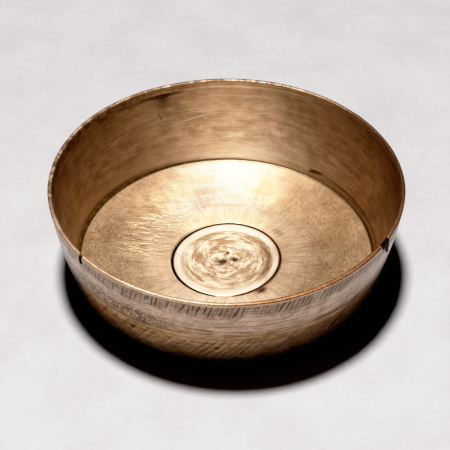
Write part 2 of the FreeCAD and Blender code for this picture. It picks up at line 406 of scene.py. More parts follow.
def floor_relief(angle, distance):
    """Height of the floor's marks, how dirty they are, and how bright: polish, and painted highlight
    behind and in front of the circle.
    """
    a = np.radians(angle)
    x = distance * np.cos(a)
    y = distance * np.sin(a)
    groove, band, edge, rings, swirl = disc_marks(angle, distance)
    worn = sum(hill(np.hypot(x - mx, y - my), radius) for mx, my, radius in CENTRE_MARKS)
    worn = np.clip(worn, 0, 1)
    waves = ring_noise(angle, distance, 26, 11.0, 9) * smooth(distance, 4, 20)
    relief = 0.05 * waves + 0.05 * swirl + 0.12 * band - 0.05 * edge - 0.03 * rings
    relief = relief - CIRCLE_DEPTH * groove - 0.22 * worn
    dirt = 0.5 * smooth(groove, 0.1, 0.7) + 0.36 * edge + 0.15 * rings + 1.1 * worn
    dirt = dirt + floor_stains(angle, distance)
    # Painted highlight: whiter metal behind the circle, and a weaker patch in front of it
    back_width = np.clip(40 - 1.9 * (distance - 38), 18, 40)
    brightening = 0.8 * hill(turn_gap(angle, 95), back_width) * smooth(distance, 29, 41)
    brightening = brightening + 0.35 * hill(turn_gap(angle, -100), 45) * hill(distance - 32, 7)
    return relief, np.clip(dirt, 0, 1), np.clip(0.55 * band + brightening, 0, 1)


def crossed_brushing(angle, distance):
    """Where hand scraping runs across the bowl (1) instead of round it (0)."""
    right = 0.16 * hill(turn_gap(angle, 0), 60) * smooth(distance, 6, 18)
    disc = 0.88 * fade(distance, 24.6, 25.6) * (1 - right)
    back_left = 0.86 * hill(turn_gap(angle, 122), 25) * fade(distance, 54, 66)
    front_reach = 7 * hill(turn_gap(angle, -120), 50)
    strength = 0.90 - 0.36 * hill(turn_gap(angle, 0), 65) - 0.30 * hill(turn_gap(angle, 155), 22)
    halo = strength * fade(distance, 32 + front_reach, 47 + front_reach)
    outside = np.maximum(back_left, halo) * smooth(distance, 25.4, 26.6)
    return np.clip(disc + outside, 0, 1)


# ==== Bowl mesh ====

ZONE_UNDER, ZONE_OUTER, ZONE_RIM, ZONE_INNER, ZONE_FLOOR = 0.0, 1.0, 2.0, 3.0, 4.0

# Share of the way from the inner to the outer edge of the rim, and drop from its top
RIM_PROFILE = (
    (1.0, 0.72), (0.94, 0.36), (0.84, 0.12), (0.68, 0.02),
    (0.45, 0.0), (0.24, 0.04), (0.1, 0.16), (0.02, 0.4),
)
# Radius and height of each ring in the crease, counted from the crease itself
CREASE_PROFILE = ((0.12, 0.35), (0.0, 0.0), (-0.6, -0.1))


def column_angles():
    """Angles of the mesh columns, crowded together near the two nicks."""
    fine = np.linspace(0, 360, 36001)
    density = np.ones_like(fine)
    for centre in (LEFT_NICK_ANGLE, RIGHT_NICK_ANGLE):
        density += NICK_CROWDING * hill(turn_gap(fine, centre), NICK_CROWD_DEGREES)
    total = np.concatenate([[0], np.cumsum((density[1:] + density[:-1]) / 2)])
    targets = np.arange(COLUMNS) / COLUMNS * total[-1]
    return np.interp(targets, total, fine)


def spread(start, end, count):
    """Values from start to just short of end."""
    return np.linspace(start, end, count, endpoint=False)


def ring(angle, radius, height, along, dirt, shine, zone, crossed=0.0):
    """One ring of points, with what the material needs to know at each."""
    fields = np.broadcast_arrays(angle, radius, height, along, dirt, shine, zone, crossed)
    return [np.array(field, float) for field in fields]


def underside_rings(angles):
    """From the middle outward, with a quarter of the columns."""
    some = angles[::4]
    reaches = [0.8], spread(3, 16, 6), spread(16, 21, 5), spread(21, FOOT_START_RADIUS, 16)
    for distance in np.concatenate(reaches):
        waves = 0.12 * ring_noise(some, distance + 20, 22, 12.0, 14) * smooth(distance, 20, 40)
        height = np.maximum(dish_height(UNDERSIDE_RADIUS, distance), 0.0)
        height = np.maximum(height + waves, 0.0)
        path = BOWL_HEIGHT + FOOT_START_RADIUS - distance
        yield ring(some, distance, height, path, 0.1, 0.0, ZONE_UNDER)


def foot_rings(angles):
    for step, (radius, height) in enumerate(zip(foot_r, foot_z)):
        some = angles[:: 4 if step < 2 else 2 if step < 4 else 1]
        depth = BOWL_HEIGHT - height
        relief, dirt = outer_relief(some, depth)
        outward = step / (FOOT_STEPS - 1)
        out = radius + relief * outward
        up = height - relief * (1 - outward)
        yield ring(some, out, up, depth, dirt, 0.0, ZONE_OUTER)


def outer_wall_rings(angles):
    heights = spread(WALL_START_HEIGHT + 0.9, 40, 29), spread(40, BOWL_HEIGHT - 0.75, 16)
    for height in np.concatenate(heights):
        h = nicked_height(height, angles)
        depth = BOWL_HEIGHT - h
        relief, dirt = outer_relief(angles, depth)
        radius = (outer_radius(h) + relief) * stretch(angles, h)
        yield ring(angles, radius, h, depth, dirt, 0.0, ZONE_OUTER)


def rim_rings(angles):
    """From the rim's outer edge to its inner edge, with uneven wear."""
    top = nicked_height(BOWL_HEIGHT, angles)
    wear = 0.5 + 0.5 * ring_noise(angles, angles * 0, 60, 1.0, 40)
    for share, drop in RIM_PROFILE:
        h = top - drop * (0.7 + 0.6 * wear) - 0.06 * wear
        outer = outer_radius(h) + 0.4 * outer_relief(angles, BOWL_HEIGHT - h)[0] * share
        inner = inner_radius(h)
        radius = (inner + (outer - inner) * share) * stretch(angles, h)
        yield ring(angles, radius, h, -RIM_THICKNESS * (1 - share), 0.0, 0.0, ZONE_RIM)


def inner_wall_rings(angles):
    top = BOWL_HEIGHT - 4.0
    heights = spread(BOWL_HEIGHT - 0.8, top, 6), spread(top, 16, 19), spread(16, CREASE_HEIGHT + 0.7, 11)
    for height in np.concatenate(heights):
        h = nicked_height(height, angles)
        relief, dirt, shine = inner_relief(angles, h)
        radius = (inner_radius(h) - relief) * stretch(angles, h)
        yield ring(angles, radius, h, inside_path(h), dirt, shine, ZONE_INNER)


def crease_rings(angles):
    dirt = 0.40 + 0.50 * hill(turn_gap(angles, 165), 75)
    for out, up in CREASE_PROFILE:
        height = CREASE_HEIGHT + up
        radius = (CREASE_RADIUS + out) * stretch(angles, height)
        yield ring(angles, radius, height, inside_path(height), dirt, 0.0, ZONE_INNER)


def floor_rings(angles):
    """From the crease inward, with fewer columns as the rings get smaller."""
    reaches = spread(CREASE_RADIUS - 1.6, 29, 30), spread(29, 22, 26), spread(22, 2.0, 22), [1.1, 0.5]
    for distance in np.concatenate(reaches):
        some = angles[:: 2 if distance > 24 else 4 if distance > 9 else 8]
        relief, dirt, shine = floor_relief(some, distance)
        radius = distance * (1 + out_of_round(some) * FLOOR_STRAY * smooth(distance, 30, 68))
        height = dish_height(DISH_RADIUS, distance) + relief
        path = inside_path(CREASE_HEIGHT) - CREASE_RADIUS + distance
        crossed = crossed_brushing(some, distance)
        yield ring(some, radius, height, path, dirt, shine, ZONE_FLOOR, crossed)


def bowl_rings():
    """All the rings, from the middle of the underside to the middle of the floor."""
    angles = column_angles()
    makers = (
        underside_rings, foot_rings, outer_wall_rings, rim_rings,
        inner_wall_rings, crease_rings, floor_rings,
    )
    return [one for make in makers for one in make(angles)]


def stitch(faces, first, first_count, second, second_count):
    """Faces between two neighbouring rings whose counts are equal or differ by half."""
    if first_count == second_count:
        for i in range(first_count):
            j = (i + 1) % first_count
            faces.append((first + i, first + j, second + j, second + i))
    elif first_count == 2 * second_count:
        for i in range(second_count):
            j = (i + 1) % second_count
            a, b, c = 2 * i, 2 * i + 1, (2 * i + 2) % first_count
            faces.append((first + a, first + b, second + i))
            faces.append((first + b, second + j, second + i))
            faces.append((first + b, first + c, second + j))
    else:
        for i in range(first_count):
            j = (i + 1) % first_count
            a, b, c = 2 * i, 2 * i + 1, (2 * i + 2) % second_count
            faces.append((first + i, second + b, second + a))
            faces.append((first + i, first + j, second + b))
            faces.append((first + j, second + c, second + b))


def close_cap(faces, start, count, centre, upward):
    for i in range(count):
        j = (i + 1) % count
        edge = (start + i, start + j) if upward else (start + j, start + i)
        faces.append((*edge, centre))


def new_object(name, points, faces, attributes):
    """Object from points in millimetres, with smooth shading and one float field per name."""
    mesh = bpy.data.meshes.new(name)
    mesh.from_pydata([tuple(p) for p in points * MM], [], faces)
    mesh.validate()
    for key, values in attributes.items():
        attribute = mesh.attributes.new(key, "FLOAT", "POINT")
        attribute.data.foreach_set("value", np.asarray(values, np.float32))
    mesh.polygons.foreach_set("use_smooth", [True] * len(mesh.polygons))
    mesh.update()
    obj = bpy.data.objects.new(name, mesh)
    bpy.context.scene.collection.objects.link(obj)
    return obj


# What the material is told at the middle of the underside and at the middle of the floor
CAP_FIELDS = {
    "along": (116.0, -113.0),
    "dirt": (0.1, 0.9),
    "shine": (0.0, 0.0),
    "zone": (ZONE_UNDER, ZONE_FLOOR),
    "crossed": (0.0, 1.0),
}
FLOOR_MIDDLE_WEAR = 0.2


def make_bowl():
    points, faces, starts = [], [], []
    layers = {key: [] for key in CAP_FIELDS}
    total = 0
    for angle, radius, height, *fields in bowl_rings():
        a = np.radians(angle)
        points.append(np.stack([radius * np.cos(a), radius * np.sin(a), height], 1))
        for key, values in zip(layers, fields):
            layers[key].append(values)
        starts.append((total, len(angle)))
        total += len(angle)
    for near, far in zip(starts, starts[1:]):
        stitch(faces, *near, *far)
    points.append(np.array([[0, 0, 0.0], [0, 0, FLOOR_CENTRE_HEIGHT - FLOOR_MIDDLE_WEAR]]))
    close_cap(faces, *starts[0], total, False)
    close_cap(faces, *starts[-1], total + 1, True)
    for key, ends in CAP_FIELDS.items():
        layers[key].append(np.array(ends))
    values = {key: np.concatenate(parts) for key, parts in layers.items()}
    return new_object("bowl", np.concatenate(points), faces, values)


# ==== Deposits ====


def loop_strip(name, angles, sections, closed):
    """Closed tube through one cross-section per angle; a section is (radius, height) points."""
    count, size = len(angles), len(sections[0])
    points = []
    for angle, section in zip(np.radians(angles), sections):
        points += [(r * math.cos(angle), r * math.sin(angle), z) for r, z in section]
    faces = []
    for i in range(count if closed else count - 1):
        j = (i + 1) % count
        for k in range(size):
            m = (k + 1) % size
            faces.append((i * size + k, i * size + m, j * size + m, j * size + k))
    if not closed:
        faces.append(tuple(range(size))[::-1])
        faces.append(tuple((count - 1) * size + k for k in range(size)))
    return new_object(name, np.array(points), faces, {})


def make_circle_fill():
    """Black line in the engraved circle, broken for a short stretch at the front."""
    start, end = -84.0, 259.0
    angles = np.linspace(start, end, 560)
    a = np.radians(angles)
    middle = CIRCLE_RADIUS * (1 + CIRCLE_SKEW * np.sin(2 * a))
    left_heavy = 0.5 - 0.5 * np.cos(a)
    taper = smooth(angles, start, start + 12) * fade(angles, end - 9, end)
    half = 0.30 + 0.24 * left_heavy + 0.05 * ring_noise(angles, a * 0, 90, 1.0, 51)
    half = half * (0.25 + 0.75 * taper)
    sections = []
    for mid, wide in zip(middle, half):
        surface = dish_height(DISH_RADIUS, mid)
        top = surface - 0.06 - 0.25 * (0.65 - wide)
        bottom = surface - CIRCLE_DEPTH + 0.03
        sections.append([(mid - wide, top), (mid, bottom), (mid + wide, top), (mid, top + 0.05)])
    return loop_strip("centre_circle_line", angles, sections, False)


def crease_section(wide, scale):
    """Cross-section of the wedge of dirt in the crease, of a width, on a stretched ring."""
    root = CREASE_RADIUS * scale
    wall_top = CREASE_HEIGHT + wide
    wall = inner_radius(wall_top) * scale
    floor_edge = root - 0.75 * wide
    floor_z = dish_height(DISH_RADIUS, floor_edge)
    middle = ((wall + floor_edge) / 2 + 0.02 * wide - 0.1, (wall_top + floor_z) / 2 + 0.1)
    return [
        (root + 0.2, CREASE_HEIGHT - 0.25), (wall + 0.4, wall_top), (wall - 0.22, wall_top - 0.15),
        middle, (floor_edge + 0.1, floor_z + 0.14), (floor_edge - 0.1, floor_z - 0.2),
    ]


def make_crease_fill():
    """Dark wedge in the crease, thick at the left and thin at the back."""
    angles = np.linspace(0, 360, 720, endpoint=False)
    a = np.radians(angles)
    left = ((1 + np.cos(a - math.radians(160))) / 2) ** 3
    right_back = hill(turn_gap(angles, 54), 14)
    ragged = ring_noise(angles, a * 0, 60, 1.0, 52) + 0.5 * ring_noise(angles, a * 0, 170, 1.0, 53)
    width = 0.27 + 0.97 * left + 0.14 * right_back + 0.06 * ragged
    scale = 1 + out_of_round(angles) * FLOOR_STRAY
    sections = [crease_section(*pair) for pair in zip(width, scale)]
    return loop_strip("crease_line", angles, sections, True)


def make_lump(name, centre, axes, sizes, seed, roughness):
    """Irregular closed lump: a ball with its own axes, pushed about by noise."""
    rows, columns = 24, 48
    rng = np.random.default_rng(seed)
    waves = rng.normal(0, 1, (9, 3)) * 2.2
    phases = rng.uniform(0, 2 * math.pi, 9)
    points = []
    for i in range(rows + 1):
        polar = math.pi * i / rows
        for j in range(1 if i in (0, rows) else columns):
            turn = 2 * math.pi * j / columns
            flat = math.sin(polar)
            d = np.array([flat * math.cos(turn), flat * math.sin(turn), math.cos(polar)])
            swell = 1 + roughness * sum(math.sin(w @ d + p) for w, p in zip(waves, phases)) / 3
            points.append(centre + axes @ (d * sizes * swell))
    faces = []
    last = 1 + (rows - 1) * columns
    for j in range(columns):
        k = (j + 1) % columns
        faces.append((0, 1 + j, 1 + k))
        for i in range(rows - 2):
            a, b = 1 + i * columns, 1 + (i + 1) * columns
            faces.append((a + j, b + j, b + k, a + k))
        faces.append((last, last - columns + k, last - columns + j))
    return new_object(name, np.array(points), faces, {})


def wall_axes(angle):
    """Unit axes at an angle: round the bowl, up, and outward, as matrix columns."""
    a = math.radians(angle)
    outward = np.array([math.cos(a), math.sin(a), 0.0])
    around = np.array([-math.sin(a), math.cos(a), 0.0])
    return np.stack([around, np.array([0, 0, 1.0]), outward], 1)


def wall_point(angle, radius, height, side=0.0):
    return wall_axes(angle) @ np.array([side, height, radius])


def make_left_nick_fill():
    centre = wall_point(LEFT_NICK_ANGLE, RIM_RADIUS - 1.25, BOWL_HEIGHT - 3.2)
    sizes = np.array([1.15, 2.0, 1.05])
    return make_lump("left_nick_dirt", centre, wall_axes(LEFT_NICK_ANGLE), sizes, 61, 0.12)


def facet_bump(facets, u, v):
    """Reads a small table of random heights between its entries."""
    i, j = int(u), int(v)
    fu, fv = u - i, v - j
    near = facets[i, j] * (1 - fu) + facets[i + 1, j] * fu
    far = facets[i, j + 1] * (1 - fu) + facets[i + 1, j + 1] * fu
    return near * (1 - fv) + far * fv


def slab_faces(columns, rows):
    """Faces of a closed slab whose front and back are grids of the same size."""
    wide = columns + 1
    back = (rows + 1) * wide
    faces = []
    for i in range(rows):
        for j in range(columns):
            a = i * wide + j
            faces.append((a, a + wide, a + wide + 1, a + 1))
            faces.append((back + a, back + a + 1, back + a + wide + 1, back + a + wide))
    for i in range(rows):
        a, b = i * wide, i * wide + columns
        faces.append((a, back + a, back + a + wide, a + wide))
        faces.append((b, b + wide, back + b + wide, back + b))
    for j in range(columns):
        a, b = j, rows * wide + j
        faces.append((a, a + 1, back + a + 1, back + a))
        faces.append((b, back + b, back + b + 1, b + 1))
    return faces


def make_right_nick_fill():
    """Black lump that fills the chip and runs down the leaning pocket outside."""
    columns, rows = 30, 44
    top = 0.9
    facets = np.random.default_rng(71).uniform(-1, 1, (7, 9))
    front, back = [], []
    for i in range(rows + 1):
        depth = top + (POCKET_REACH - top) * i / rows
        height = BOWL_HEIGHT - depth
        left, right = pocket_edges(depth / POCKET_REACH)
        left, right = left - 0.1, right + 0.1
        deep = outer_radius(height) - POCKET_DEPTH - 0.15
        if depth < RIGHT_NICK_DEPTH + 0.2:
            deep = inner_radius(height) + 0.1
        for j in range(columns + 1):
            side = left + (right - left) * j / columns
            bump = facet_bump(facets, j / columns * 5.99, i / rows * 7.99)
            from_edge = min(1, 6 * min(j, columns - j) / columns)
            skin = outer_radius(height) - 0.22 + 0.22 * bump * from_edge
            front.append(wall_point(RIGHT_NICK_ANGLE, skin, height, side))
            back.append(wall_point(RIGHT_NICK_ANGLE, deep, height, side))
    return new_object("right_nick_dirt", np.array(front + back), slab_faces(columns, rows), {})


def make_pit_fill():
    centre = wall_point(PIT_ANGLE, inner_radius(PIT_HEIGHT) + 0.30, PIT_HEIGHT)
    c, s = math.cos(PIT_TILT), math.sin(PIT_TILT)
    axes = wall_axes(PIT_ANGLE) @ np.array([[c, s, 0], [-s, c, 0], [0, 0, 1]])
    return make_lump("fold_pit_dirt", centre, axes, np.array([4.3, 0.28, 0.40]), 62, 0.16)


def make_centre_mark_fill():
    """Brown dirt in the marks at the middle of the floor, joined as one object."""
    points, faces = [], []
    for number, (x, y, radius) in enumerate(CENTRE_MARKS[:DIRTY_CENTRE_MARKS]):
        surface = float(dish_height(DISH_RADIUS, math.hypot(x, y)))
        centre = np.array([x, y, surface - 0.31])
        sizes = np.array([radius * 0.95, radius * 0.62, 0.20])
        part = make_lump("centre_mark_part_%d" % number, centre, np.eye(3), sizes, 63 + number, 0.2)
        base = len(points)
        points += [tuple(v.co / MM) for v in part.data.vertices]
        faces += [tuple(base + i for i in face.vertices) for face in part.data.polygons]
        bpy.data.objects.remove(part)
    return new_object("centre_mark_dirt", np.array(points), faces, {})


# ==== Materials ====

COLOURS = {
    "white": (1.0, 1.0, 1.0),
    "floor_dark": (0.64, 0.40, 0.21),
    "floor_light": (0.85, 0.58, 0.34),
    # The next four are painted light on the floor: a paler highlight near the circle, shade at its flanks,
    # a highlight in front, shade at the back right
    "floor_near_circle_painted_highlight": (0.80, 0.58, 0.40),
    "floor_flanks_painted_shade": (0.47, 0.31, 0.185),
    "floor_front_painted_highlight": (0.98, 0.80, 0.64),
    "floor_back_right_painted_shade": (0.42, 0.27, 0.165),
    "heart_dark": (0.37, 0.215, 0.105),
    "heart_light": (0.92, 0.74, 0.54),
    "crescent_dark": (0.28, 0.15, 0.07),
    "crescent_light": (0.52, 0.33, 0.185),
    "wall_dark": (0.66, 0.43, 0.245),
    "wall_light": (0.93, 0.67, 0.44),
    # Painted shade on the right of the inner wall
    "wall_right_painted_shade": (0.30, 0.18, 0.10),
    "wall_mottling": (0.33, 0.19, 0.095),
    # The next three are painted light: glints low on the wall, shade towards its top, a highlight low on
    # it
    "wall_painted_glint": (0.99, 0.78, 0.52),
    "wall_top": (0.27, 0.15, 0.075),
    "wall_foot_painted_highlight": (0.99, 0.75, 0.51),
    "fold_dark": (0.34, 0.19, 0.08),
    "fold_light": (0.86, 0.57, 0.33),
    "lip_soil": (0.22, 0.12, 0.05),
    "outer_grey_dark": (0.42, 0.290, 0.205),
    "outer_grey_light": (0.64, 0.470, 0.345),
    "outer_tan_dark": (0.34, 0.195, 0.098),
    "outer_tan_light": (0.58, 0.365, 0.205),
    "outer_low_dark": (0.52, 0.315, 0.17),
    "outer_low_light": (0.80, 0.53, 0.32),
    # The next three darken the outer wall: the foot is partly grime and partly painted shade; the right
    # and the sides are painted shade
    "outer_foot_soil_and_shade": (0.12, 0.055, 0.022),
    "outer_right_painted_shade": (0.22, 0.15, 0.11),
    "outer_sides_painted_shade": (0.045, 0.024, 0.014),
    "rim_dark": (0.50, 0.32, 0.21),
    "rim_light": (0.80, 0.57, 0.40),
    "rim_front_dark": (0.62, 0.38, 0.22),
    "rim_front_light": (0.98, 0.76, 0.52),
    "copper_dark": (0.32, 0.12, 0.045),
    "copper_light": (0.68, 0.33, 0.16),
    "rim_right": (0.11, 0.055, 0.032),
    "rim_soil": (0.20, 0.115, 0.05),
    "underside": (0.16, 0.10, 0.06),
    "streaks": (0.34, 0.19, 0.10),
    "polished_wall": (0.99, 0.84, 0.65),
    # Polish, and painted highlight behind and in front of the circle
    "polished_and_sheen_floor": (1.0, 0.91, 0.80),
    # Dirt, and the painted shade among the dark marks
    "grime_and_shade": (0.090, 0.042, 0.019),
    # The next two tint edge-on reflections darker, as painted shade
    "edge_tint": (0.50, 0.40, 0.32),
    "far_left_edge_tint": (0.10, 0.07, 0.05),
    "soot_light": (0.016, 0.013, 0.011),
    "soot_dark": (0.004, 0.003, 0.003),
    "earth_light": (0.105, 0.049, 0.013),
    "earth_dark": (0.050, 0.022, 0.007),
    "olive": (0.14, 0.088, 0.028),
    "paper_dark": (0.585, 0.557, 0.563),
    "paper_light": (0.655, 0.628, 0.632),
}

# Streaky noises of the bronze: cells per radian round the bowl, cells per millimetre
# along the profile, slant in radians per millimetre, detail and roughness
BRUSHINGS = {
    "lines": (4.0, 0.9, 0.0, 4.0, 0.7),
    "fine": (10.0, 3.0, 0.0, 2.0, 0.7),
    "scratches": (2.6, 3.2, 0.006, 1.0, 0.5),
    "broad": (5.5, 0.33, -0.008, 4.0, 0.72),
    "radial": (19.0, 0.10, 0.0, 4.0, 0.75),
    "upper_dash": (50.0, 0.09, 0.0045, 2.0, 0.6),
    "lower_dash": (24.0, 0.20, 0.0085, 2.0, 0.6),
    "strokes": (46.0, 0.20, 0.012, 2.0, 0.6),
    "level_lines": (5.0, 1.9, 0.0, 3.0, 0.7),
    "swirl_wide": (1.5, 0.42, 0.035, 4.0, 0.66),
    "swirl_fine": (4.5, 1.5, 0.035, 3.0, 0.7),
    "dash_shift": (14.0, 0.01, 0.0, 1.0, 0.5),
    "ring_wear": (2.0, 0.5, 0.0, 3.0, 0.6),
    "wander": (1.6, 0.30, 0.03, 2.0, 0.5),
}
# Its cloudy noises: scale per millimetre, detail, roughness and distortion
CLOUDS = {
    "cloud": (0.05, 3.0, 0.6, 0.4),
    "blotch": (0.17, 3.0, 0.6, 0.3),
    "dent": (0.11, 0.0, 0.5, 0.0),
    "soil": (0.30, 3.0, 0.7, 0.0),
    "fine_pits": (1.15, 2.0, 0.75, 0.0),
    "grain": (1.2, 2.0, 0.7, 0.0),
    "speck": (2.6, 1.0, 0.5, 0.0),
    "glitter": (4.5, 0.0, 0.5, 0.0),
}
DASHES_PER_RADIAN = 214.0
FLOOR_BRUSH_TURN = math.radians(8)


class Graph:
    """Short names for building a material's nodes. A text value names a colour."""

    def __init__(self, name):
        self.material = bpy.data.materials.new(name)
        self.material.use_nodes = True
        self.material.node_tree.nodes.clear()
        self.shader = self.node("BsdfPrincipled", [])
        self.node("OutputMaterial", [self.shader.outputs[0]])
        coordinates = self.node("TexCoord", [])
        self.place = self.scaled(coordinates.outputs["Object"], 1 / MM)
        self.x, self.y, self.z = self.node("SeparateXYZ", [self.place]).outputs

    def put(self, socket, value):
        if isinstance(value, bpy.types.NodeSocket):
            self.material.node_tree.links.new(value, socket)
        elif isinstance(value, str):
            socket.default_value = (*COLOURS[value], 1.0)
        else:
            socket.default_value = value

    def node(self, kind, inputs, **settings):
        """New node with its settings, and its inputs as a list or by name or number."""
        made = self.material.node_tree.nodes.new("ShaderNode" + kind)
        for key, value in settings.items():
            setattr(made, key, value)
        pairs = inputs.items() if isinstance(inputs, dict) else enumerate(inputs)
        for key, value in pairs:
            self.put(made.inputs[key], value)
        return made

    def set(self, name, value):
        self.put(self.shader.inputs[name], value)

    def math(self, operation, a, b=0.0, clamp=False):
        return self.node("Math", [a, b], operation=operation, use_clamp=clamp).outputs[0]

    def add(self, first, *others):
        for other in others:
            first = self.math("ADD", first, other)
        return first

    def times(self, first, *others):
        for other in others:
            first = self.math("MULTIPLY", first, other)
        return first

    def size(self, a):
        return self.math("ABSOLUTE", a)

    def clamp(self, a):
        return self.math("ADD", a, 0.0, True)

    def step(self, value, low, high, start=0.0, end=1.0):
        """Smooth change from start to end as the value goes from low to high."""
        inputs = [value, low, high, start, end]
        return self.node("MapRange", inputs, interpolation_type="SMOOTHSTEP").outputs[0]

    def until(self, value, low, high):
        """1 below low and 0 above high."""
        return self.step(value, low, high, 1.0, 0.0)

    def window(self, value, start, full, wane, end):
        """0 outside start and end, and 1 between full and wane."""
        return self.times(self.step(value, start, full), self.until(value, wane, end))

    def swing(self, noise, height):
        """Noise that goes either side of zero, of a height from lowest to highest."""
        return self.times(self.add(noise, -0.5), height)

    def vector(self, x, y, z):
        return self.node("CombineXYZ", [x, y, z]).outputs[0]

    def scaled(self, vector, factor):
        inputs = {0: vector, "Scale": factor}
        return self.node("VectorMath", inputs, operation="SCALE").outputs[0]

    def turn_z(self, vector, angle):
        inputs = {"Vector": vector, "Angle": angle}
        return self.node("VectorRotate", inputs, rotation_type="Z_AXIS").outputs[0]

    def noise(self, vector, scale, detail, roughness, distortion=0.0):
        numbers = {"Scale": scale, "Detail": detail, "Roughness": roughness}
        inputs = {"Vector": vector, "Distortion": distortion, **numbers}
        return self.node("TexNoise", inputs).outputs["Fac"]

    def attribute(self, name):
        return self.node("Attribute", [], attribute_name=name).outputs["Fac"]

    def mix(self, share, a, b):
        return self.node("Mix", {0: share, 6: a, 7: b}, data_type="RGBA").outputs[2]

    def blend(self, share, a, b):
        return self.node("Mix", {0: share, 2: a, 3: b}).outputs[0]

    def mix_vector(self, share, a, b):
        return self.node("Mix", {0: share, 4: a, 5: b}, data_type="VECTOR").outputs[1]

    def bump(self, height, strength, distance):
        inputs = {"Strength": strength, "Distance": distance, "Height": height}
        return self.node("Bump", inputs).outputs[0]


class BronzeGraph(Graph):
    """A graph with the bronze's zones and noises, each 0 to 1."""

    def __init__(self):
        super().__init__("bronze")
        x, y = self.x, self.y
        self.radius = self.math("SQRT", self.add(self.times(x, x), self.times(y, y)))
        self.turn = self.math("ARCTAN2", y, x)
        self.degrees = self.times(self.turn, 180.0 / math.pi)
        reach = self.math("MAXIMUM", self.radius, 0.5)
        self.ux = self.math("DIVIDE", x, reach)
        self.uy = self.math("DIVIDE", y, reach)
        self.along = self.attribute("along")
        self.dirt = self.attribute("dirt")
        self.shine = self.attribute("shine")
        zone = self.attribute("zone")
        self.under = self.until(zone, 0.1, 0.9)
        self.outer = self.window(zone, 0.1, 0.9, 1.05, 1.5)
        self.rim = self.window(zone, 1.5, 1.9, 2.1, 2.5)
        self.inner = self.window(zone, 2.5, 2.9, 3.1, 3.5)
        self.floor = self.step(zone, 3.5, 3.95)
        self.plain_floor = self.times(self.floor, self.step(self.radius, 25.5, 26.2))
        # The heart is the part inside the polished band, which is narrower at the right
        heart_radius = self.step(x, 8.0, 17.0, 20.0, 22.0)
        within = self.math("SUBTRACT", self.radius, heart_radius)
        self.heart = self.times(self.floor, self.until(within, -1.0, 1.0))
        self.brush = {key: self.brushed(*numbers) for key, numbers in BRUSHINGS.items()}
        self.spots = {key: self.noise(self.place, *numbers) for key, numbers in CLOUDS.items()}
        wide = self.times(self.brush["swirl_wide"], 0.62)
        self.swirl = self.step(self.add(wide, self.times(self.brush["swirl_fine"], 0.38)), 0.42, 0.59)
        self.soil = self.step(self.spots["soil"], 0.42, 0.56)
        # Painted shade low on the far left of the outer wall, where it mirrors the cast shadow
        self.far_left_painted_shade = self.times(self.step(x, -68.0, -59.0, 0.9, 0.0), self.step(self.along, 11.0, 19.0))

    def brushed(self, across, lengthwise, slant, detail, roughness):
        direction = self.vector(self.ux, self.uy, 0.0)
        if slant:
            direction = self.turn_z(direction, self.times(self.along, slant))
        flat = self.scaled(direction, across)
        up = self.vector(0.0, 0.0, self.times(self.along, lengthwise))
        place = self.node("VectorMath", [flat, up], operation="ADD").outputs[0]
        return self.noise(place, 1.0, detail, roughness)


def heart_tone(g):
    """Turned swirl inside the circle, with a brown crescent at its right."""
    tone = g.mix(g.swirl, "heart_dark", "heart_light")
    crescent = g.times(g.window(g.radius, 16.5, 19.5, 21.6, 22.8), g.step(g.x, 8.0, 17.0, 0.0, 0.75))
    return g.mix(crescent, tone, g.mix(g.swirl, "crescent_dark", "crescent_light"))


def floor_tone(g):
    """Cloudy tan with painted light: shade beside the circle, at the back right and slightly to the right;
    a paler highlight near the circle and in front.
    """
    # The x term adds painted shade, darker towards the right
    shade = g.add(g.spots["cloud"], g.times(g.spots["blotch"], 0.5), g.times(g.x, -0.0012))
    tone = g.mix(g.step(shade, 0.55, 0.95), "floor_dark", "floor_light")
    # Painted highlight: paler, less yellow metal near the circle
    tone = g.mix(g.step(g.radius, 30.0, 50.0, 0.4, 0.0), tone, "floor_near_circle_painted_highlight")
    # Painted shade at the flanks of the circle
    flanks = g.times(g.step(g.size(g.x), 12.0, 30.0, 0.0, 0.62), g.until(g.radius, 32.0, 46.0))
    tone = g.mix(flanks, tone, "floor_flanks_painted_shade")
    # Painted highlight in front
    tone = g.mix(g.step(g.y, -36.0, -22.0, 0.55, 0.0), tone, "floor_front_painted_highlight")
    # Painted shade at the back right
    back_right = g.times(g.step(g.x, 12.0, 30.0), g.step(g.y, 26.0, 42.0))
    back_right = g.times(back_right, g.step(g.radius, 48.0, 58.0, 0.0, 0.45))
    return g.mix(back_right, tone, "floor_back_right_painted_shade")


